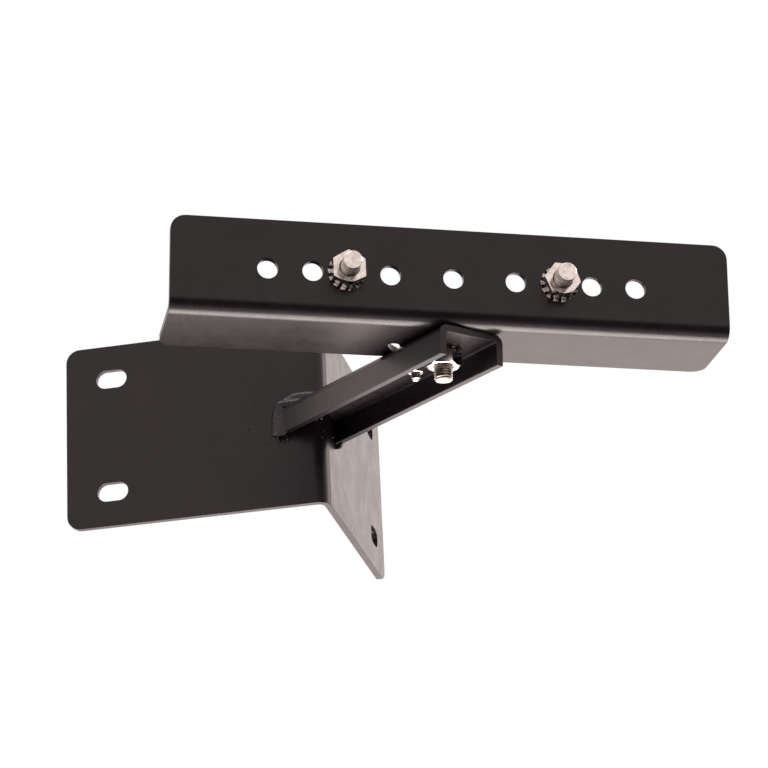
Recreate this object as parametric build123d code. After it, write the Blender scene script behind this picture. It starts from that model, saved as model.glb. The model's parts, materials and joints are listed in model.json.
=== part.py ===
from build123d import *

import os
from math import asin, atan2, cos, hypot, pi, radians, sin, sqrt, tan

# Corner wall bracket for a loudspeaker. Millimetres, +Z up.
# The origin is the edge of the building's corner at the plate's mid height: one wall is the
# plane y = 0 and lies to the -X side, the other is the plane x = 0 and lies to the +Y side.

# Folded wall plate
panel_width = 152.0  # from the fold's sharp outer corner to a free edge
panel_height = 110.0
plate_thickness = 4.0
plate_bend_radius = 4.0  # inside of the fold
panel_corner_radius = 8.0
wall_slot_length = 18.0
wall_slot_width = 11.0
wall_slot_setback = 27.0  # from a free edge to the slots' centres
wall_slot_spacing = 69.0

# Channel arm, open side down, coped and welded onto the outside of the fold
arm_width = 40.0
arm_height = 17.0
arm_thickness = 4.0
arm_bend_radius = 1.0  # inside of the two folds
arm_reach = 145.6  # along the web, from the fold's sharp outer corner to the free end
arm_drop = 3.8  # degrees that the arm falls outwards
arm_rise = 3.4  # height of the web's top face at the fold's sharp outer corner
cope_gap = 0.2  # fit-up gap between the coped end and the plate

# Weld bead along the arm's sides and over the end of its web
weld_leg = 6.0
weld_bulge = 1.0

# Angle bar that carries the loudspeaker
bar_length = 300.0
bar_rise = 53.0  # upright flange, from the underside
bar_depth = 56.0  # lying flange, from the front face
bar_thickness = 4.0
bar_bend_radius = 4.0  # inside of the fold
bar_corner_radius = 8.0
speaker_hole_diameter = 11.0
speaker_hole_height = 25.5
bolted_hole_offset = 57.0  # the pair that holds the loudspeaker's bolts
open_hole_offsets = (33.6, 75.0, 98.8)  # the open pairs; one more hole is at mid length

# Pivot, and the lobe and curved slot of the lying flange for the lock bolt
pivot_from_end = 26.8  # from the arm's free end to the pivot
pivot_setback = 31.0  # from the bar's front face to the pivot
pan_at_rest = -23.0  # degrees that the bar is turned about the pivot
lock_radius = 26.5  # from the pivot to the lock bolt
lock_slot_half_angle = 75.0
lobe_wall = 4.0
lobe_blend_radius = 4.0

# M10 bolts: one as the pivot, two for the loudspeaker
m10_diameter = 10.0
m10_length = 25.0
m10_flats = 17.0
m10_head_height = 6.4
m10_nut_height = 8.0
m10_washer_diameter = 20.5
m10_washer_thickness = 0.9
m10_washer_height = 1.3  # over the twisted teeth
m10_tooth_count = 14

# M5 bolt that locks the bar
m5_diameter = 5.0
m5_length = 18.0
m5_flats = 8.0
m5_head_height = 3.5
m5_nut_height = 4.0
m5_washer_diameter = 10.0
m5_washer_thickness = 0.6
m5_washer_height = 0.9
m5_tooth_count = 10
flat_washer_thickness = 1.0

# Details of all the fasteners
bevel_angle = 30.0  # of the cone that takes off a hexagon's corners
bevel_face_ratio = 1.02  # rim of that cone at the face over the width across flats
tip_chamfer = 0.8
tooth_gap_ratio = 0.4  # gap over the spacing of two teeth
tooth_root_ratio = 0.52  # where the teeth start, from the bore to the rim, at their middles
pivot_nut_turn = -4.4  # degrees, where each hexagon stopped as it was tightened
lock_nut_turn = 22.0
speaker_nut_turns = (-37.0, 0.0)  # left, right

# Clearances
slide_gap = 0.05  # between faces that turn on each other
pivot_clearance = 0.1  # radial, pivot bolt in the bar
arm_hole_clearance = 0.5  # radial, pivot bolt in the arm
lock_hole_clearance = 0.25  # radial, lock bolt in the arm
lock_slot_clearance = 0.5  # radial, lock bolt in its slot
washer_clearance = 0.2  # radial, bolts in their washers
thread_clearance = 0.05  # radial, bolts in their nuts

# Worked-out sizes
pivot_reach = arm_reach - pivot_from_end
lock_reach = pivot_reach - lock_radius
lock_slot_width = m5_diameter + 2 * lock_slot_clearance
lobe_radius = lock_radius + lock_slot_width / 2 + lobe_wall
panel_edge = panel_width - plate_thickness  # from the building's corner to a free edge
flange_top = slide_gap + bar_thickness + slide_gap  # seat of what clamps the bar, over the web

# Arm frame: X outwards along the web, Y across, Z square to the web. Its origin is where the
# web's top face meets the fold's sharp outer corner.
arm_out = Vector(1, -1, 0).normalized()
arm_across = Vector(1, 1, 0).normalized()
arm_along = arm_out * cos(radians(arm_drop)) - Vector(0, 0, sin(radians(arm_drop)))
arm_frame = Plane(
    origin=(plate_thickness, -plate_thickness, arm_rise),
    x_dir=arm_along,
    z_dir=arm_along.cross(arm_across),
).location

# Bar frame: X along the bar, Y towards the wall, Z square to the lying flange. Its origin is
# at mid length, on the plane of the front face and that of the underside.
bar_frame = (
    arm_frame
    * Pos(pivot_reach, 0, slide_gap)
    * Rot(0, 0, 90 + pan_at_rest)
    * Pos(0, -pivot_setback, 0)
)


def edges_at(part, direction, **place):
    """Edges along a direction whose centres have the given coordinates."""
    found = part.edges().filter_by(direction)
    for name, value in place.items():
        found = [e for e in found if abs(getattr(e.center(), name) - value) < 0.01]
    return found


def wall_side(offset):
    """Everything behind the plate's outer faces when those are moved out by offset."""
    face = plate_thickness + offset
    far = panel_width
    corners = [(-far, -face), (face, -face), (face, far), (-far, far)]
    block = extrude(make_face(Polyline(*corners, close=True)), panel_height, both=True)
    return fillet(edges_at(block, Axis.Z, X=face, Y=-face), plate_bend_radius + face)


def wall_plate():
    face = plate_thickness
    outside = [(-panel_edge, -face), (face, -face), (face, panel_edge)]
    inside = [(0, panel_edge), (0, 0), (-panel_edge, 0)]
    outline = make_face(Polyline(*outside, *inside, close=True))
    plate = extrude(outline, panel_height / 2, both=True)
    plate = fillet(edges_at(plate, Axis.Z, X=0, Y=0), plate_bend_radius)
    plate = fillet(edges_at(plate, Axis.Z, X=face, Y=-face), plate_bend_radius + face)
    plate = fillet(edges_at(plate, Axis.Y, X=-panel_edge), panel_corner_radius)
    plate = fillet(edges_at(plate, Axis.X, Y=panel_edge), panel_corner_radius)
    slot = extrude(SlotOverall(wall_slot_length, wall_slot_width), 2 * face, both=True)
    slot_place = panel_edge - wall_slot_setback
    for z in (-wall_slot_spacing / 2, wall_slot_spacing / 2):
        plate -= Pos(-slot_place, 0, z) * (Plane.XZ * slot)
        plate -= Pos(0, slot_place, z) * (Plane.YZ * slot)
    return plate


def arm_channel():
    top_middle = (Align.CENTER, Align.MAX)
    outside = Rectangle(arm_width, arm_height, align=top_middle)
    outside = fillet(outside.vertices().group_by(Axis.Y)[-1], arm_bend_radius + arm_thickness)
    inside = Rectangle(arm_width - 2 * arm_thickness, arm_height, align=top_middle)
    inside = Pos(0, -arm_thickness) * inside
    inside = fillet(inside.vertices().group_by(Axis.Y)[-1], arm_bend_radius)
    channel = Pos(-arm_width, 0, 0) * extrude(Plane.YZ * (outside - inside), arm_width + arm_reach)
    channel -= Pos(pivot_reach, 0, 0) * Cylinder(m10_diameter / 2 + arm_hole_clearance, 3 * arm_thickness)
    channel -= Pos(lock_reach, 0, 0) * Cylinder(m5_diameter / 2 + lock_hole_clearance, 3 * arm_thickness)
    return arm_frame * channel - wall_side(cope_gap)


def bead_section(first, second):
    """Filled corner at the origin between two directions, one weld leg long, its front bulged."""
    start = Vector(*first).normalized() * weld_leg
    end = Vector(*second).normalized() * weld_leg
    front = (start + end) * 0.5
    front += front.normalized() * weld_bulge
    outline = [Line((0, 0), start), ThreePointArc(start, front, end), Line(end, (0, 0))]
    return make_face(outline)


def weld_bead():
    """One bead up the arm's sides and along the notched end of its web."""
    half = arm_width / 2
    foot = Vector(plate_thickness - arm_width / sqrt(2), -plate_thickness)
    side = extrude(Pos(foot.X, foot.Y) * bead_section((-1, 0), (1, -1)), panel_height / 2, both=True)
    side &= arm_frame * Pos(0, 0, -arm_height / 2) * Box(4 * arm_width, 4 * arm_width, arm_height)
    other_side = mirror(side, about=Plane(origin=(0, 0, 0), z_dir=(1, 1, 0)))
    section = bead_section((1, 0), (0, 1))
    section += Rectangle(weld_leg, weld_leg, align=(Align.MAX, Align.MIN))
    fold_radius = plate_bend_radius + plate_thickness
    fold_middle = -sqrt(2) * fold_radius
    fold_start = fold_middle + fold_radius / sqrt(2)
    section = Plane(origin=(fold_start, fold_start, 0), x_dir=(1, -1, 0), z_dir=(-1, -1, 0)) * section
    run = extrude(section, half * sqrt(2) + weld_leg + sqrt(2) * fold_start)
    top = run + revolve(section, Axis((fold_middle, 0, 0), (0, 0, 1)), 90) + mirror(run, about=Plane.XZ)
    return side + other_side + (arm_frame * top - wall_side(0))


def speaker_hole_places():
    places = [0.0]
    for offset in (bolted_hole_offset, *open_hole_offsets):
        places += [-offset, offset]
    return places


def lying_flange():
    """Outline of the flange that lies on the arm, with its lobe, pivot hole and curved slot."""
    outline = Rectangle(bar_length, bar_depth, align=(Align.CENTER, Align.MIN))
    outline = fillet(outline.vertices().group_by(Axis.Y)[-1], bar_corner_radius)
    half = Rectangle(2 * lobe_radius, lobe_radius, align=(Align.CENTER, Align.MIN))
    outline += Pos(0, pivot_setback) * (Circle(lobe_radius) & half)
    root = sqrt(lobe_radius**2 - (bar_depth - pivot_setback) ** 2)
    corners = [v for v in outline.vertices() if abs(abs(v.X) - root) < 0.01]
    outline = fillet(corners, lobe_blend_radius)
    first_angle = 90 - lock_slot_half_angle
    path = CenterArc((0, pivot_setback), lock_radius, first_angle, 2 * lock_slot_half_angle)
    outline -= SlotArc(path, lock_slot_width)
    return outline - Pos(0, pivot_setback) * Circle(m10_diameter / 2 + pivot_clearance)


def upright_flange():
    """Outline of the flange that faces the room, with its row of holes."""
    outline = Rectangle(bar_length, bar_rise, align=(Align.CENTER, Align.MIN))
    outline = fillet(outline.vertices().group_by(Axis.Y)[-1], bar_corner_radius)
    for x in speaker_hole_places():
        outline -= Pos(x, speaker_hole_height) * Circle(speaker_hole_diameter / 2)
    return outline


def speaker_bar():
    bar = extrude(lying_flange(), bar_thickness) + extrude(Plane.XZ * upright_flange(), -bar_thickness)
    bar = fillet(edges_at(bar, Axis.X, Y=bar_thickness, Z=bar_thickness), bar_bend_radius)
    bar = fillet(edges_at(bar, Axis.X, Y=0, Z=0), bar_bend_radius + bar_thickness)
    return bar_frame * bar


def bevel_cone(flats, height):
    """Solid under a cone that takes off a hexagon's corners at z = height, and reaches below z = 0."""
    rim = bevel_face_ratio * flats / 2
    foot = rim + 2 * height / tan(radians(bevel_angle))
    outline = [(0, -height), (foot, -height), (rim, height), (0, height)]
    return revolve(Plane.XZ * make_face(Polyline(*outline, close=True)), Axis.Z)


def hexagon(flats, height, turn):
    """Hexagonal block on z = 0, its corners taken off at the top."""
    block = extrude(RegularPolygon(flats / 2, 6, major_radius=False, rotation=turn), height)
    return block & bevel_cone(flats, height)


def bolt(diameter, length, flats, head_height, turn=0.0):
    """Head upwards from z = 0, shank downwards with a chamfered tip."""
    shank = Pos(0, 0, -length / 2) * Cylinder(diameter / 2, length)
    shank = chamfer(shank.edges().group_by(Axis.Z)[0], tip_chamfer)
    return hexagon(flats, head_height, turn) + shank


def nut(diameter, flats, height, turn):
    """Nut downwards from its washer at z = 0, its corners taken off at the free end."""
    body = Rot(180, 0, 0) * hexagon(flats, height, -turn)
    return body - Cylinder(diameter / 2 + thread_clearance, 4 * height)


def flat_washer(diameter, outside, thickness):
    """Plain ring upwards from z = 0."""
    ring = Circle(outside / 2) - Circle(diameter / 2 + washer_clearance)
    return extrude(ring, thickness)


def tooth_washer(diameter, outside, thickness, height, tooth_count):
    """Ring with twisted teeth round its outside and straight gaps, downwards from z = 0."""
    bore = diameter / 2 + washer_clearance
    root = bore + tooth_root_ratio * (outside / 2 - bore)
    tooth_width = (1 - tooth_gap_ratio) * 2 * pi * root / tooth_count
    twist = asin(height / hypot(tooth_width, thickness)) - atan2(thickness, tooth_width)
    tooth = Box(
        outside / 2 - (bore + root) / 2, tooth_width, thickness,
        align=(Align.MAX, Align.CENTER, Align.CENTER),
    )
    tooth = Pos(outside / 2, 0, 0) * Rot(twist * 180 / pi, 0, 0) * tooth
    washer = extrude(RegularPolygon(root, tooth_count), thickness / 2, both=True)
    for i in range(tooth_count):
        washer += Rot(0, 0, 360 / tooth_count * i) * tooth
    washer -= Cylinder(bore, 4 * height)
    return Pos(0, 0, -height / 2) * washer


def m10_bolt():
    return bolt(m10_diameter, m10_length, m10_flats, m10_head_height)


def m10_nut(turn):
    return nut(m10_diameter, m10_flats, m10_nut_height, turn)


def m10_tooth_washer():
    return tooth_washer(
        m10_diameter, m10_washer_diameter, m10_washer_thickness, m10_washer_height, m10_tooth_count
    )


def pivot_pieces():
    """Pivot bolt through bar and arm, its washer and nut inside the channel."""
    axis = arm_frame * Pos(pivot_reach, 0, 0)
    return {
        "pivot_bolt": axis * Pos(0, 0, flange_top) * m10_bolt(),
        "pivot_tooth_washer": axis * Pos(0, 0, -arm_thickness) * m10_tooth_washer(),
        "pivot_nut": axis * Pos(0, 0, -arm_thickness - m10_washer_height) * m10_nut(pivot_nut_turn),
    }


def lock_pieces():
    """Lock bolt through the curved slot and the arm, clamped over a flat washer."""
    axis = arm_frame * Pos(lock_reach, 0, 0)
    small_washer = flat_washer(m5_diameter, m5_washer_diameter, flat_washer_thickness)
    small_bolt = bolt(m5_diameter, m5_length, m5_flats, m5_head_height)
    small_teeth = tooth_washer(
        m5_diameter, m5_washer_diameter, m5_washer_thickness, m5_washer_height, m5_tooth_count
    )
    small_nut = nut(m5_diameter, m5_flats, m5_nut_height, lock_nut_turn)
    return {
        "lock_flat_washer": axis * Pos(0, 0, flange_top) * small_washer,
        "lock_bolt": axis * Pos(0, 0, flange_top + flat_washer_thickness) * small_bolt,
        "lock_tooth_washer": axis * Pos(0, 0, -arm_thickness) * small_teeth,
        "lock_nut": axis * Pos(0, 0, -arm_thickness - m5_washer_height) * small_nut,
    }


def speaker_bolt_pieces(side, x, nut_turn):
    """One of the loudspeaker's bolts, head towards the wall, with its washer and nut."""
    axis = bar_frame * Pos(x, 0, speaker_hole_height) * Rot(-90, 0, 0)
    return {
        f"speaker_bolt_{side}": axis * Pos(0, 0, bar_thickness) * m10_bolt(),
        f"speaker_tooth_washer_{side}": axis * m10_tooth_washer(),
        f"speaker_nut_{side}": axis * Pos(0, 0, -m10_washer_height) * m10_nut(nut_turn),
    }


def all_pieces():
    pieces = {
        "wall_plate": wall_plate(),
        "arm_channel": arm_channel(),
        "arm_weld": weld_bead(),
        "speaker_bar": speaker_bar(),
    }
    pieces.update(pivot_pieces())
    pieces.update(lock_pieces())
    left_turn, right_turn = speaker_nut_turns
    pieces.update(speaker_bolt_pieces("left", -bolted_hole_offset, left_turn))
    pieces.update(speaker_bolt_pieces("right", bolted_hole_offset, right_turn))
    return pieces


os.makedirs("parts", exist_ok=True)
for name, piece in all_pieces().items():
    export_step(piece, f"parts/{name}.step")
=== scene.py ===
import json
import random
from math import atan2, cos, hypot, pi, radians, sin, sqrt, tan

import bmesh
import bpy
from mathutils import Matrix, Vector


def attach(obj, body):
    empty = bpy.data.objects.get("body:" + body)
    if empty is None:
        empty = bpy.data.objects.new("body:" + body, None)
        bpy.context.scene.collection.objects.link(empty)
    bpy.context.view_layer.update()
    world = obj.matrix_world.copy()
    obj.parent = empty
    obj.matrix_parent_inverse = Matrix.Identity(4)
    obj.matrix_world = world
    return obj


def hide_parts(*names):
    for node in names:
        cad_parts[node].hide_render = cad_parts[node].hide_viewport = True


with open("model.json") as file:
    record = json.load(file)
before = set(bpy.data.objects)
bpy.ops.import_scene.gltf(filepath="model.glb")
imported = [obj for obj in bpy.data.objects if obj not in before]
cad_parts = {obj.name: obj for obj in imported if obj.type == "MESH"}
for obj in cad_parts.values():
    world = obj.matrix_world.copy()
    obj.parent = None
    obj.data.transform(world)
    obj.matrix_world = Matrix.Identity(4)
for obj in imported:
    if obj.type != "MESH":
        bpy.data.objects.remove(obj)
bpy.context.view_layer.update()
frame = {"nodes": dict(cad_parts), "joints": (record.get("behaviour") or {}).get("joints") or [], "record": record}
bpy.ops.object.select_all(action="DESELECT")

# Wall bracket for a loudspeaker, made for the outside corner of a wall: a folded plate, a channel
# arm welded onto its fold, and a drilled angle bar that turns on the arm's end. The sheet pieces
# take their form from the solids. The fasteners are modelled in millimetres about their own axes,
# in the solids' sizes, and set in place in metres by the frame. So is the weld, whose form follows
# the photograph.
MM = 0.001

# Sheet steel
plate_thickness = 4.0
fold_radius = 8.0  # outside of the plate's fold
arm_width = 40.0
arm_height = 17.0
arm_thickness = 4.0
bar_thickness = 4.0
coat_edge = 0.35  # radius that the powder coat leaves on cut edges
sharp_sheet_edge = 35.0  # degrees; folds are smoother than this

# Where the bolts stand
bolted_hole_offset = 57.0  # loudspeaker's bolts, from the bar's middle hole
lock_radius = 26.5  # lock bolt, from the pivot
slide_gap = 0.05  # under and over the bar's lying flange
flange_top = slide_gap + bar_thickness + slide_gap

# Bolts, nuts and washers: thread, hexagon and tooth washer
M10 = dict(
    diameter=10.0, pitch=1.5, length=25.0, flats=17.0, head=6.4, nut=8.0,
    washer=20.5, sheet=0.9, washer_height=1.3, teeth=14,
)
M5 = dict(
    diameter=5.0, pitch=0.8, length=18.0, flats=8.0, head=3.5, nut=4.0,
    washer=10.0, sheet=0.6, washer_height=0.9, teeth=10,
)
thread_depth = 0.61  # of the pitch
thread_crest = 1 / 4  # of the pitch
thread_flank = 5 / 16  # of the pitch
rod_overlap = 0.5  # how far the rod reaches into its head
tip_chamfer = 0.8
tip_dish = 0.35
hexagon_chamfer = 25.0  # degrees, off the corners
hexagon_face = 0.97  # of the width across flats, left flat by the chamfer
bore_clearance = 0.05  # radial, in the nuts
countersink = 0.5  # radial, at the mouths of an M10 nut
washer_clearance = 0.2  # radial, round the bolt
flat_washer_thickness = 1.0
flat_washer_edge = 0.12
tooth_root = 0.52  # where the teeth start, from the bore to the rim
tooth_half_width = 0.25  # of a tooth's share of the ring
tooth_twist = 20.0  # degrees; the teeth bite a little into the faces they are clamped between
tooth_edge = 0.1

# How far the nuts are turned in the photograph, in degrees
pivot_nut_turn = -4.4
lock_nut_turn = 22.0
speaker_nut_turns = dict(left=-32.0, right=6.0)

# Weld, laid as overlapping ripples: balls flattened to lenses, whose half lengths are along the
# arm, across it and up
ripple_step = 1.6
side_ripple = (4.6, 2.0, 2.8)
side_growth = 2.2  # along the arm, from the web's end to the foot
side_rounding = 1.9  # off the length at the web's end
low_web_ripple = (3.3, 3.4, 2.9)
high_web_ripple = (2.7, 3.4, 5.2)
pit_drops = 7
pit_drop = 1.2
weld_voxel = 0.3

# Drops of spatter: across, height and radius on the plate, and the same after a place along the arm
weld_spatter = (
    (-0.2, -8.4, 0.6), (0.9, -15.4, 0.55), (-0.6, -19.3, 0.6), (13.0, -14.3, 0.65),
    (-2.1, -13.2, 0.4), (-24.6, -21.5, 0.5), (-31.5, -12.0, 0.45), (-29.0, 3.4, 0.4),
)
arm_spatter = (
    (-97.7, -15.6, -17.0, 0.8), (-101.4, -16.4, -17.0, 0.55), (-87.7, -18.5, -1.5, 0.6),
)

# Camera, found from the photograph's edges
camera_place = Vector((340.86, -1565.96, -629.39)) * MM
camera_look = Vector((-0.1763, 0.9108, 0.3734))
camera_right = Vector((0.9773, 0.2074, -0.0445))
camera_lens = 142.72
nearest_seen = 0.1

# Studio, in metres
floor_level = -0.95
floor_radius = 9
doorway = Vector((0.50, -0.72, -0.50))  # direction of the room's one dark place
doorway_core = 0.94  # cosines of the angles at which it's wholly dark, and no longer dark
doorway_rim = 0.76
room_light = 0.55
lamp_target = Vector((0.06, -0.06, 0))
# Name, place, size, watts and colour of each lamp
lamps = (
    ("back_soft", (-0.05, 1.45, 0.0), 1.9, 7.5, "#fff6f0"),
    ("under_soft", (0.06, 0.31, -0.77), 0.76, 14, "#fff4ee"),
    ("side_left", (-1.37, 0.24, 0.0), 1.0, 6.0, "#fff8f4"),
    ("side_right", (1.25, 0.68, 0.55), 0.9, 5.5, "#fff6ee"),
    ("top_soft", (-0.4, -0.2, 1.5), 1.2, 8, "#f6f8ff"),
)


def axes(origin, x_axis, z_axis):
    """Frame with its origin in metres, for pieces modelled in millimetres."""
    turn = Matrix((x_axis, z_axis.cross(x_axis), z_axis)).transposed().to_4x4()
    return Matrix.Translation(origin) @ turn @ Matrix.Scale(MM, 4)


def shifted(place, x=0.0, y=0.0, z=0.0):
    return place @ Matrix.Translation((x, y, z))


# The arm's frame has its origin on the pivot, X outwards along the web, Z square to the web.
# The bar's frame has X along the bar, Y to the wall, and its origin in the middle hole's mouth.
joint = frame["joints"][0]
mounts = {mount["name"]: mount for mount in frame["record"]["mounts"]}
pivot = Vector(joint["pos_m"])
web_up = Vector(joint["axis"]).normalized()
into_wall = Vector(mounts["wall_corner"]["axis"])
arm_across = web_up.cross(-into_wall).normalized()
arm_along = arm_across.cross(web_up)
pivot_reach = (pivot.x / MM - plate_thickness) / arm_along.x  # from the fold, were it sharp
web_lean = web_up.x / arm_along.x  # of the plate along the web, for each millimetre up
arm_frame = axes(pivot, arm_along, web_up)
hole = mounts["speaker_hole_4"]
bar_front = Vector(hole["axis"]).normalized()
bar_along = (-bar_front).cross(web_up)
hole_mouth = Vector(hole["pos_m"]) + bar_front * bar_thickness / 2 * MM
bar_frame = axes(hole_mouth, bar_along, web_up)


def linear(hex_colour):
    """Scene-linear colour of an sRGB hex value."""
    channels = [int(hex_colour[i:i + 2], 16) / 255 for i in (1, 3, 5)]
    return [c / 12.92 if c <= 0.04045 else ((c + 0.055) / 1.055) ** 2.4 for c in channels] + [1.0]


def node(tree, kind, settings=None, **links):
    """Adds a node; settings are its properties, links its inputs, from values or other outputs."""
    made = tree.nodes.new(kind)
    for name, value in (settings or {}).items():
        setattr(made, name, value)
    for name, value in links.items():
        number = name[1:]
        socket = made.inputs[int(number) if number.isdigit() else name.replace("_", " ")]
        if isinstance(value, bpy.types.NodeSocket):
            tree.links.new(value, socket)
        else:
            socket.default_value = value
    return made


def new_material(name):
    """Empty material, its node tree and its Object coordinates."""
    material = bpy.data.materials.new(name)
    material.use_nodes = True
    material.node_tree.nodes.clear()
    tree = material.node_tree
    place = node(tree, "ShaderNodeTexCoord").outputs["Object"]
    return material, tree, place


def powder_coat(name, ripple):
    """Satin black powder coat, baked on steel: near black, its sheen broken by fine orange peel."""
    material, tree, place = new_material(name)
    # The coat's grain is a few tenths of a millimetre, too fine to show, so it is drawn at 0.9 mm
    grain = node(
        tree, "ShaderNodeTexNoise", Vector=place, Scale=1 / (0.9 * MM), Detail=3.0, Roughness=0.6
    )
    peel = node(tree, "ShaderNodeTexNoise", Vector=place, Scale=1 / (2.4 * MM), Detail=2.0)
    # Uneven baking shows in the colour, and handling in the sheen
    cloud = node(tree, "ShaderNodeTexNoise", Vector=place, Scale=1 / (38 * MM), Detail=3.0)
    handled = node(
        tree, "ShaderNodeTexNoise", Vector=place, Scale=1 / (13 * MM), Detail=3.0, Roughness=0.6
    )
    colour = node(tree, "ShaderNodeValToRGB", Fac=cloud.outputs["Fac"])
    dark_and_light = ((0.3, "#161014"), (0.7, "#1b1419"))
    for element, (position, tone) in zip(colour.color_ramp.elements, dark_and_light):
        element.position = position
        element.color = linear(tone)
    wear = node(
        tree, "ShaderNodeMath", {"operation": "ADD"},
        _0=grain.outputs["Fac"], _1=handled.outputs["Fac"],
    )
    rough = node(
        tree, "ShaderNodeMapRange", Value=wear.outputs["Value"],
        From_Min=0.7, From_Max=1.3, To_Min=0.26, To_Max=0.37,
    )
    peel_bump = node(
        tree, "ShaderNodeBump", Height=peel.outputs["Fac"], Strength=ripple, Distance=0.03 * MM
    )
    bump = node(
        tree, "ShaderNodeBump", Height=grain.outputs["Fac"], Strength=0.6, Distance=0.03 * MM,
        Normal=peel_bump.outputs["Normal"],
    )
    shader = node(
        tree, "ShaderNodeBsdfPrincipled", Base_Color=colour.outputs["Color"],
        Roughness=rough.outputs["Result"], IOR=1.45, Normal=bump.outputs["Normal"],
    )
    node(tree, "ShaderNodeOutputMaterial", Surface=shader.outputs["BSDF"])
    return material


def zinc_plate(name, tones, roughness):
    """Bright zinc plate on pressed steel: pale metal with fine pits and duller patches."""
    material, tree, place = new_material(name)
    patch = node(tree, "ShaderNodeTexNoise", Vector=place, Scale=1 / (2.6 * MM), Detail=4.0)
    # The plate's own pits are finer, and drawn at 0.3 mm to show at all
    pits = node(tree, "ShaderNodeTexNoise", Vector=place, Scale=1 / (0.3 * MM), Detail=2.0)
    colour = node(tree, "ShaderNodeValToRGB", Fac=patch.outputs["Fac"])
    for element, position, tone in zip(colour.color_ramp.elements, (0.32, 0.62), tones):
        element.position = position
        element.color = linear(tone)
    rough = node(
        tree, "ShaderNodeMapRange", Value=patch.outputs["Fac"],
        From_Min=0.3, From_Max=0.7, To_Min=roughness + 0.1, To_Max=roughness,
    )
    bump = node(
        tree, "ShaderNodeBump", Height=pits.outputs["Fac"], Strength=0.2, Distance=0.02 * MM
    )
    shader = node(
        tree, "ShaderNodeBsdfPrincipled", Base_Color=colour.outputs["Color"], Metallic=1.0,
        Roughness=rough.outputs["Result"], Normal=bump.outputs["Normal"],
    )
    node(tree, "ShaderNodeOutputMaterial", Surface=shader.outputs["BSDF"])
    return material


# Coat on the sheet steel: an even satin black that turns pale where it mirrors the bright room
black_coat = powder_coat("black_powder_coat", ripple=0.3)
# The same coat over the weld, where it lies uneven and breaks the sheen up more
weld_coat = powder_coat("powder_coat_over_weld", ripple=0.5)
# Plated bolts and nuts: the palest and most mirror-like surface of the bracket
zinc = zinc_plate("bright_zinc_plate", ("#cfccc6", "#ebeae5"), roughness=0.1)
# Zinc plate in rolled threads and nuts' bores: duller, and darker as painted shade in the grooves and bores
thread_zinc_painted_shade = zinc_plate("zinc_plate_with_painted_thread_shade", ("#8d8882", "#bab5af"), roughness=0.26)
# Plated spring steel of the tooth washers: grey, with glints on the twisted teeth
spring_zinc = zinc_plate("zinc_plated_spring_steel", ("#8f8983", "#c2bcb6"), roughness=0.12)


def edit(piece):
    """Opens a piece alone in edit mode and returns its mesh there."""
    bpy.ops.object.select_all(action="DESELECT")
    piece.select_set(True)
    bpy.context.view_layer.objects.active = piece
    bpy.ops.object.mode_set(mode="EDIT")
    return bmesh.from_edit_mesh(piece.data)


def leave_edit():
    bpy.ops.object.mode_set(mode="OBJECT")


def merge_and_turn_out(threshold=1e-4):
    """Merges doubles of a piece in edit mode and turns its faces outwards."""
    bpy.ops.mesh.select_all(action="SELECT")
    bpy.ops.mesh.remove_doubles(threshold=threshold)
    bpy.ops.mesh.normals_make_consistent(inside=False)


def apply_modifier(piece, kind, **settings):
    """Adds a modifier with its settings and applies it."""
    modifier = piece.modifiers.new(kind.title(), kind)
    for name, value in settings.items():
        setattr(modifier, name, value)
    bpy.context.view_layer.objects.active = piece
    bpy.ops.object.modifier_apply(modifier=modifier.name)


def round_edges(piece, width, segments, sharper_than, **settings):
    """Rounds the edges that are sharper than an angle in degrees."""
    apply_modifier(
        piece, "BEVEL", width=width, segments=segments, limit_method="ANGLE",
        angle_limit=radians(sharper_than), **settings,
    )


def is_closed(mesh):
    """Whether every edge of a mesh joins two faces."""
    shape = bmesh.new()
    shape.from_mesh(mesh)
    closed = all(edge.is_manifold for edge in shape.edges)
    shape.free()
    return closed


def cut(piece, tool, operation):
    """Boolean of a piece with a tool, which is used up. It is made again if it comes out open."""
    uncut = piece.data.copy()
    tries = 6
    for i in range(tries):
        apply_modifier(piece, "BOOLEAN", object=tool, operation=operation, solver="EXACT")
        if is_closed(piece.data):
            break
        piece.data = uncut.copy()
    bpy.data.objects.remove(tool)


def point_at(name, place):
    """Piece of a single vertex, to be extruded into an outline."""
    bpy.ops.mesh.primitive_plane_add(size=1)
    piece = bpy.context.active_object
    piece.name = name
    edit(piece)
    bpy.ops.mesh.merge(type="CENTER")
    bpy.ops.transform.translate(value=place)
    return piece


def draw_to(places):
    """Extrudes the selected vertex from place to place."""
    for start, end in zip(places, places[1:]):
        step = tuple(b - a for a, b in zip(start, end))
        bpy.ops.mesh.extrude_vertices_move(TRANSFORM_OT_translate={"value": step})


def turned(name, outline, steps=72):
    """Solid turned about Z from an outline of (radius, height) points."""
    places = [(radius, 0, height) for radius, height in outline]
    piece = point_at(name, places[0])
    draw_to(places)
    bpy.ops.mesh.select_all(action="SELECT")
    bpy.ops.mesh.spin(steps=steps, angle=2 * pi, center=(0, 0, 0), axis=(0, 0, 1))
    merge_and_turn_out()
    leave_edit()
    return piece


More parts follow.
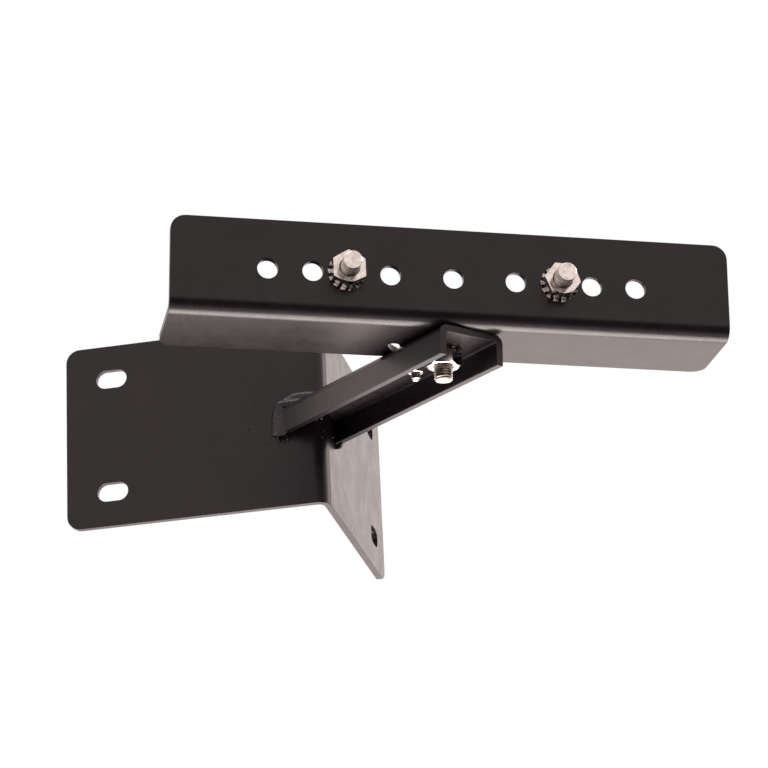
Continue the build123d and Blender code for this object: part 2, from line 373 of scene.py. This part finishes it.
def hexagon(name, flats, height, turn, both_ends):
    """Hexagon from z = 0 up, its corners taken off by a turned cone at the top or at both ends."""
    # The bar is longer than the blank: with ends in one plane, a boolean sometimes comes out open
    spare = 1.0
    foot = -spare if both_ends else 0.0
    top = height + spare
    bpy.ops.mesh.primitive_cylinder_add(
        vertices=6, radius=flats / sqrt(3), depth=top - foot,
        location=(0, 0, (foot + top) / 2), rotation=(0, 0, radians(turn - 30)),
    )
    bar = bpy.context.active_object
    bar.name = name
    bpy.ops.object.transform_apply(location=True, rotation=True, scale=True)
    face = hexagon_face * flats / 2
    widest = 0.62 * flats  # a little past the corners
    drop = (widest - face) * tan(radians(hexagon_chamfer))
    low = [(0, -spare), (widest, -spare)]
    if both_ends:
        low = [(0, 0), (face, 0), (widest, drop)]
    high = [(widest, height - drop), (face, height), (0, height)]
    # A number of steps that six doesn't divide keeps the cone's edges off the hexagon's
    cut(bar, turned(f"{name}_blank", low + high, 97), "INTERSECT")
    return bar


def threaded_rod(name, size):
    """Rod downwards from inside its head, with a helical thread and a chamfered, dished tip."""
    radius = size["diameter"] / 2
    pitch = size["pitch"]
    tip = -size["length"]
    root = radius - thread_depth * pitch
    crest = thread_crest * pitch
    flank = thread_flank * pitch
    start = tip - 2 * pitch
    outline = [
        (radius, 0, start),
        (radius, 0, start + crest),
        (root, 0, start + crest + flank),
        (root, 0, start + pitch - flank),
        (radius, 0, start + pitch),
    ]
    rod = point_at(name, outline[0])
    draw_to(outline)
    leave_edit()
    apply_modifier(
        rod, "SCREW", axis="Z", angle=2 * pi, screw_offset=pitch,
        iterations=int(size["length"] / pitch) + 5, steps=32, render_steps=32,
        use_merge_vertices=True, merge_threshold=1e-4, use_smooth_shade=False,
    )
    spare = 0.3  # past the tip, for the blank to take off
    for level, normal in ((rod_overlap, 1), (tip - spare, -1)):
        edit(rod)
        bpy.ops.mesh.select_all(action="SELECT")
        bpy.ops.mesh.bisect(
            plane_co=(0, 0, level), plane_no=(0, 0, normal), use_fill=True, clear_outer=True
        )
        leave_edit()
    edit(rod)
    merge_and_turn_out()
    leave_edit()
    end_face = radius - tip_chamfer
    dish = [(0, tip + tip_dish), (0.55 * radius, tip + 0.4 * tip_dish), (0.95 * end_face, tip)]
    outline = dish + [
        (end_face, tip), (radius + 1, tip + (tip_chamfer + 1)),
        (radius + 1, rod_overlap + 1), (0, rod_overlap + 1),
    ]
    cut(rod, turned(f"{name}_blank", outline), "INTERSECT")
    return rod


def mark_painted_thread_shade(piece, radius, low, high):
    """Gives the faces of a thread or a bore, between two heights, the piece's second material, a darker zinc that
    is painted shade in the grooves and the bore.
    """
    margin = 0.02
    for face in piece.data.polygons:
        middle = face.center
        if hypot(middle.x, middle.y) < radius - margin and low < middle.z < high:
            face.material_index = 1


def bolt(name, size):
    """Hexagon bolt, head upwards from z = 0."""
    head = hexagon(name, size["flats"], size["head"], 0, both_ends=False)
    cut(head, threaded_rod(f"{name}_rod", size), "UNION")
    # The thread's flanks and roots get the darker zinc: painted shade in the grooves
    mark_painted_thread_shade(head, size["diameter"] / 2, -size["length"] + tip_chamfer, 0)
    return head


def nut(name, size, turn):
    """Hexagon nut downwards from z = 0, its bore countersunk at both ends."""
    height = size["nut"]
    piece = hexagon(name, size["flats"], height, -turn, both_ends=True)
    bore = size["diameter"] / 2 + bore_clearance
    mouth = bore + countersink * size["diameter"] / M10["diameter"]
    sink = mouth - bore
    outline = [
        (0, -1), (mouth + 1, -1), (bore, sink),
        (bore, height - sink), (mouth + 1, height + 1), (0, height + 1),
    ]
    cut(piece, turned(f"{name}_drill", outline, 73), "DIFFERENCE")
    past_bore = 0.1
    # The bore gets the darker zinc: painted shade in the bore
    mark_painted_thread_shade(piece, bore + past_bore, 0, height)
    piece.data.transform(Matrix.Rotation(pi, 4, "X"))
    return piece


def flat_washer(name, size):
    """Flat ring upwards from z = 0, with rounded edges."""
    bore = size["diameter"] / 2 + washer_clearance
    rim = size["washer"] / 2
    top = flat_washer_thickness
    piece = turned(name, [(bore, 0), (rim, 0), (rim, top), (bore, top), (bore, 0)])
    round_edges(piece, flat_washer_edge, 2, sharper_than=40)
    return piece


def tooth_washer(name, size):
    """Punched ring with twisted teeth, downwards from z = 0; one tooth is made and spun round."""
    bore = size["diameter"] / 2 + washer_clearance
    rim = size["washer"] / 2
    root = bore + tooth_root * (rim - bore)
    sector = 2 * pi / size["teeth"]
    side = [(reach * cos(sector / 2), reach * sin(sector / 2), 0) for reach in (bore, root)]
    piece = point_at(name, side[0])
    draw_to(side)
    bpy.ops.mesh.select_all(action="SELECT")
    bpy.ops.mesh.spin(steps=5, angle=sector, center=(0, 0, 0), axis=(0, 0, 1))
    mesh = bmesh.from_edit_mesh(piece.data)
    bpy.ops.mesh.select_all(action="DESELECT")
    bpy.ops.mesh.select_mode(type="EDGE")
    for edge in mesh.edges:
        middle = (edge.verts[0].co + edge.verts[1].co) / 2
        on_root = middle.length > 0.97 * root
        on_tooth = abs(atan2(middle.y, middle.x)) < tooth_half_width * sector
        edge.select_set(on_root and on_tooth)
    bmesh.update_edit_mesh(piece.data)
    steps = 3  # in which the tooth grows and twists
    for i in range(steps):
        before = root + (rim - root) * i / steps
        after = root + (rim - root) * (i + 1) / steps
        bpy.ops.mesh.extrude_edges_move()
        factor = after / before
        bpy.ops.transform.resize(value=(factor, factor, 1), center_override=(0, 0, 0))
        bpy.ops.transform.rotate(
            value=-radians(tooth_twist) / steps, orient_axis="X", orient_type="GLOBAL",
            center_override=(0, 0, 0),
        )
    bpy.ops.mesh.select_mode(type="VERT")
    bpy.ops.mesh.select_all(action="SELECT")
    bpy.ops.mesh.spin(
        steps=size["teeth"], angle=2 * pi, center=(0, 0, 0), axis=(0, 0, 1), dupli=True
    )
    merge_and_turn_out(threshold=1e-3)
    leave_edit()
    apply_modifier(piece, "SOLIDIFY", thickness=size["sheet"], offset=0.0)
    round_edges(piece, tooth_edge, 2, sharper_than=50)
    piece.data.transform(Matrix.Translation((0, 0, -size["washer_height"] / 2)))
    return piece


def new_piece(name, mesh):
    """Piece with its own copy of a mesh."""
    piece = bpy.data.objects.new(name, mesh.copy())
    bpy.context.scene.collection.objects.link(piece)
    return piece


def set_in_place(piece, place, body, slot, material, *nodes, smooth_below=22):
    """Moves a piece's mesh into the frame, gives it its material, shades it smooth, hangs it on its body and hides
    the solids it stands for.
    """
    piece.data.transform(place)
    if piece.data.materials:
        piece.data.materials.clear()
    piece.data.materials.append(material)
    # Fasteners get a second, darker zinc for their threads and bores: painted shade
    if material == zinc:
        piece.data.materials.append(thread_zinc_painted_shade)
    bpy.ops.object.select_all(action="DESELECT")
    piece.select_set(True)
    bpy.context.view_layer.objects.active = piece
    bpy.ops.object.shade_smooth_by_angle(angle=radians(smooth_below))
    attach(piece, body)
    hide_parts(*nodes)


def sheet_piece(name, node_name, body):
    """Folded sheet with the solid's own form, its cut edges rounded by the coat."""
    piece = new_piece(name, frame["nodes"][node_name].data)
    edit(piece)
    bpy.ops.mesh.select_all(action="SELECT")
    bpy.ops.mesh.remove_doubles(threshold=1e-6)
    bpy.ops.mesh.dissolve_limited(angle_limit=radians(1), use_dissolve_boundaries=False)
    leave_edit()
    round_edges(
        piece, coat_edge * MM, 3, sharp_sheet_edge,
        use_clamp_overlap=False, loop_slide=False, miter_outer="MITER_ARC",
    )
    set_in_place(
        piece, Matrix.Identity(4), body, "black_powder_coat", black_coat, node_name, smooth_below=32
    )
    apply_modifier(piece, "WEIGHTED_NORMAL", keep_sharp=True)


def on_plate(across, height, out=0.0):
    """Place on the plate's outside in the arm's frame, or a distance out from it."""
    side = 1 if across > 0 else -1
    round_end = fold_radius / sqrt(2)
    along = -pivot_reach - abs(across)
    if abs(across) < round_end:
        along = -pivot_reach - sqrt(2) * fold_radius + sqrt(fold_radius**2 - across**2)
        side = across / round_end
    return along - web_lean * height + out / sqrt(2), across + side * out / sqrt(2), height


def lay(draw, place, size, turn=(0, 0, 0), unevenness=0.04):
    """Lays one ripple of the weld; a random draw makes each length a little uneven."""
    size = tuple(length * draw.uniform(1 - unevenness, 1 + unevenness) for length in size)
    bpy.ops.mesh.primitive_uv_sphere_add(
        segments=20, ring_count=12, radius=1, location=place, rotation=turn
    )
    ripple = bpy.context.active_object
    bpy.ops.transform.resize(value=size, orient_type="LOCAL")
    bpy.ops.object.transform_apply(location=True, rotation=True, scale=True)
    return ripple


def side_run(draw, side):
    """Run up one side of the arm, longer on the arm than on the plate, and longest at the foot."""
    run = []
    top = -0.4
    past_foot = 0.5
    packing = 0.98  # of the step
    stands_out, more_at_foot, more_where_rounded = 1.9, 1.3, 0.6  # from the plate, along the arm
    proud = 0.1  # of the arm's side
    turn = (0, 0, side * radians(-14))
    length, width, rise = side_ripple
    steps = int((arm_height + past_foot) / ripple_step)
    for i in range(steps + 1):
        foot = i / steps
        rounding = side_rounding * max(0.0, 1 - i / 3)  # over the first three ripples
        along, across, height = on_plate(side * arm_width / 2, top - i * ripple_step * packing)
        along = along + stands_out + more_at_foot * foot + more_where_rounded * rounding
        place = (along, across + side * proud, height)
        run.append(lay(draw, place, (length + side_growth * foot - rounding, width, rise), turn))
    return run


def web_run(draw, side):
    """Half of the wide run over the web's end, most of it on the plate, with its toe on the web."""
    run = []
    half = arm_width / 2
    run_share = 0.92  # of the half width
    rounded_from = 0.6  # of the half width
    falling = 0.6  # for each millimetre farther out
    low_height, low_out = 0.6, 1.5
    high_height, high_out = 3.5, -1.2
    low_length, low_width, low_rise = low_web_ripple
    high_length, high_width, high_rise = high_web_ripple
    for i in range(int(run_share * half / ripple_step) + 1):
        across = side * i * ripple_step
        fall = max(0.0, abs(across) - rounded_from * half) * falling
        turn = (0, 0, min(1, abs(across) * sqrt(2) / fold_radius) * side * radians(45))
        low = on_plate(across, low_height, out=low_out - 0.2 * fall)
        run.append(lay(draw, low, (low_length, low_width, low_rise), turn))
        high = on_plate(across, high_height - fall, out=high_out)
        run.append(lay(draw, high, (high_length, high_width, high_rise - 0.3 * fall), turn))
    return run


def pitted_end(draw):
    """Rough end of the weld under the left foot: a ring of drops round a pit."""
    drops = []
    inwards, below = 2.4, 1.9  # from the arm's lower edge to the pit's middle
    pit_width, pit_height = 2.2, 2.0  # from the middle to the drops
    for i in range(pit_drops):
        angle = 2 * pi * i / pit_drops
        across = -(arm_width / 2 - inwards + pit_width * cos(angle))
        place = on_plate(across, -arm_height - below + pit_height * sin(angle), out=0.3)
        drops.append(lay(draw, place, (pit_drop, pit_drop, pit_drop), unevenness=0.3))
    return drops


def spatter(draw):
    """Small drops thrown onto the plate and the arm, under the coat."""
    spots = [(on_plate(across, height, out=0.1), radius) for across, height, radius in weld_spatter]
    spots += [((along, across, height), radius) for along, across, height, radius in arm_spatter]
    return [lay(draw, place, (radius, radius, radius), unevenness=0.15) for place, radius in spots]


def joined(pieces):
    bpy.ops.object.select_all(action="DESELECT")
    for piece in pieces:
        piece.select_set(True)
    bpy.context.view_layer.objects.active = pieces[0]
    bpy.ops.object.join()
    return pieces[0]


def weld_bead():
    """Bead up both sides of the arm and over its web's end, its ripples melted into one skin."""
    draw = random.Random(4)
    ripples = []
    for side in (-1, 1):
        ripples += side_run(draw, side) + web_run(draw, side)
    ripples += pitted_end(draw)
    drops = spatter(draw)
    bead = joined(ripples)
    bead.name = "arm_weld_bead"
    apply_modifier(bead, "REMESH", mode="VOXEL", voxel_size=weld_voxel)
    apply_modifier(bead, "SMOOTH", factor=0.5, iterations=10)
    joined([bead, *drops])
    set_in_place(
        bead, arm_frame, "bracket", "black_powder_coat", weld_coat, "arm_weld", smooth_below=80
    )


def fasteners():
    """Every bolt, nut and washer; bolts and tooth washers are modelled once a size and copied."""
    patterns = {}
    for word, size in (("m10", M10), ("m5", M5)):
        patterns[f"{word}_bolt"] = bolt(f"{word}_bolt", size)
        patterns[f"{word}_washer"] = tooth_washer(f"{word}_washer", size)

    def put(piece, place, body, node_name, material=zinc):
        set_in_place(piece, place, body, "zinc_plated_steel", material, node_name)

    def put_copy(pattern, name, *where, **finish):
        put(new_piece(name, patterns[pattern].data), *where, **finish)

    head_seat = shifted(arm_frame, z=flange_top)
    under_web = shifted(arm_frame, z=-arm_thickness)
    put_copy("m10_bolt", "pivot_bolt_threaded", head_seat, "bracket", "pivot_bolt")
    put_copy(
        "m10_washer", "pivot_washer_toothed", under_web, "bracket", "pivot_tooth_washer",
        material=spring_zinc,
    )
    pivot_nut = nut("pivot_nut_bevelled", M10, pivot_nut_turn)
    put(pivot_nut, shifted(under_web, z=-M10["washer_height"]), "bracket", "pivot_nut")

    lock_seat = shifted(arm_frame, x=-lock_radius, z=flange_top)
    lock_under = shifted(arm_frame, x=-lock_radius, z=-arm_thickness)
    put(flat_washer("lock_washer_flat", M5), lock_seat, "bracket", "lock_flat_washer")
    on_washer = shifted(lock_seat, z=flat_washer_thickness)
    put_copy("m5_bolt", "lock_bolt_threaded", on_washer, "bracket", "lock_bolt")
    put_copy(
        "m5_washer", "lock_washer_toothed", lock_under, "bracket", "lock_tooth_washer",
        material=spring_zinc,
    )
    lock_nut = nut("lock_nut_bevelled", M5, lock_nut_turn)
    put(lock_nut, shifted(lock_under, z=-M5["washer_height"]), "bracket", "lock_nut")

    quarter = Matrix.Rotation(-pi / 2, 4, "X")
    for side, x in (("left", -bolted_hole_offset), ("right", bolted_hole_offset)):
        axis = shifted(bar_frame, x=x) @ quarter
        head_seat = shifted(axis, z=bar_thickness)
        name = f"speaker_bolt_threaded_{side}"
        put_copy("m10_bolt", name, head_seat, "bar", f"speaker_bolt_{side}")
        name = f"speaker_washer_toothed_{side}"
        put_copy(
            "m10_washer", name, axis, "bar", f"speaker_tooth_washer_{side}", material=spring_zinc
        )
        piece = nut(f"speaker_nut_bevelled_{side}", M10, speaker_nut_turns[side])
        put(piece, shifted(axis, z=-M10["washer_height"]), "bar", f"speaker_nut_{side}")

    for pattern in patterns.values():
        bpy.data.objects.remove(pattern)


def seen_by(tree, *kinds):
    """1 for rays of these kinds, as Light Path names them, and 0 for others."""
    path = node(tree, "ShaderNodeLightPath")
    seen = path.outputs[kinds[0]]
    for kind in kinds[1:]:
        either = node(
            tree, "ShaderNodeMath", {"operation": "MAXIMUM"}, _0=seen, _1=path.outputs[kind]
        )
        seen = either.outputs["Value"]
    return seen


def pale_floor():
    """Painted floor: matt, off-white and faintly mottled, so that shadows lie softly on it."""
    bpy.ops.mesh.primitive_circle_add(
        vertices=96, radius=floor_radius, fill_type="NGON", location=(0, 0, floor_level)
    )
    floor = bpy.context.active_object
    floor.name = "floor"
    material, tree, place = new_material("pale_floor")
    mottle = node(tree, "ShaderNodeTexNoise", Vector=place, Scale=6.0, Detail=3.0)
    colour = node(tree, "ShaderNodeValToRGB", Fac=mottle.outputs["Fac"])
    for element, tone in zip(colour.color_ramp.elements, ("#e9e8e6", "#f1f0ee")):
        element.color = linear(tone)
    matt = node(
        tree, "ShaderNodeBsdfPrincipled", Base_Color=colour.outputs["Color"], Roughness=0.9
    )
    # Gloss and metal see the world's white through the floor, and everything else its shadow
    through = node(tree, "ShaderNodeBsdfTransparent")
    shader = node(
        tree, "ShaderNodeMixShader", Fac=seen_by(tree, "Is Glossy Ray", "Is Transmission Ray"),
        _1=matt.outputs["BSDF"], _2=through.outputs["BSDF"],
    )
    node(tree, "ShaderNodeOutputMaterial", Surface=shader.outputs["Shader"])
    floor.data.materials.append(material)


def white_room(scene):
    """World: white to the camera, a warm white room to gloss and metal, and a soft even light."""
    world = bpy.data.worlds.new("studio")
    world.use_nodes = True
    scene.world = world
    tree = world.node_tree
    tree.nodes.clear()
    # The white sweep ends in a dark doorway in front, which metal and gloss show as a dark line
    direction = node(tree, "ShaderNodeTexCoord").outputs["Generated"]
    towards = node(
        tree, "ShaderNodeVectorMath", {"operation": "DOT_PRODUCT"},
        _0=direction, _1=doorway.normalized(),
    )
    sweep = node(
        tree, "ShaderNodeMapRange", {"interpolation_type": "SMOOTHSTEP"},
        Value=towards.outputs["Value"],
        From_Min=doorway_rim, From_Max=doorway_core, To_Min=1.0, To_Max=0.0,
    )
    light = node(tree, "ShaderNodeBackground", Color=linear("#f4f2f0"), Strength=room_light)
    room = node(
        tree, "ShaderNodeBackground", Color=linear("#ffeeea"), Strength=sweep.outputs["Result"]
    )
    white = node(tree, "ShaderNodeBackground", Color=(1, 1, 1, 1), Strength=1.0)
    mirrored = node(
        tree, "ShaderNodeMixShader", Fac=seen_by(tree, "Is Glossy Ray", "Is Transmission Ray"),
        _1=light.outputs["Background"], _2=room.outputs["Background"],
    )
    shown = node(
        tree, "ShaderNodeMixShader", Fac=seen_by(tree, "Is Camera Ray"),
        _1=mirrored.outputs["Shader"], _2=white.outputs["Background"],
    )
    node(tree, "ShaderNodeOutputWorld", Surface=shown.outputs["Shader"])


def soft_lamp(scene, name, place, size, watts, colour):
    """Round soft lamp towards the bracket, which the camera doesn't see."""
    data = bpy.data.lights.new(name, "AREA")
    data.shape = "DISK"
    data.size = size
    data.energy = watts
    data.color = linear(colour)[:3]
    lamp = bpy.data.objects.new(name, data)
    lamp.location = place
    lamp.rotation_euler = (lamp_target - lamp.location).to_track_quat("-Z", "Y").to_euler()
    lamp.visible_camera = False
    scene.collection.objects.link(lamp)


def add_camera(scene):
    """Camera where the photograph was taken from."""
    data = bpy.data.cameras.new("camera")
    data.lens = camera_lens
    data.clip_start = nearest_seen
    camera = bpy.data.objects.new("camera", data)
    back = -camera_look.normalized()
    right = (camera_right - back * camera_right.dot(back)).normalized()
    turn = Matrix((right, back.cross(right), back)).transposed().to_4x4()
    camera.matrix_world = Matrix.Translation(camera_place) @ turn
    scene.collection.objects.link(camera)
    scene.camera = camera


scene = bpy.context.scene
scene.view_settings.view_transform = "Standard"
pale_floor()
white_room(scene)
for lamp in lamps:
    soft_lamp(scene, *lamp)
add_camera(scene)

sheet_piece("wall_plate_coated", "wall_plate", "bracket")
sheet_piece("arm_channel_coated", "arm_channel", "bracket")
sheet_piece("speaker_bar_coated", "speaker_bar", "bar")
weld_bead()
fasteners()
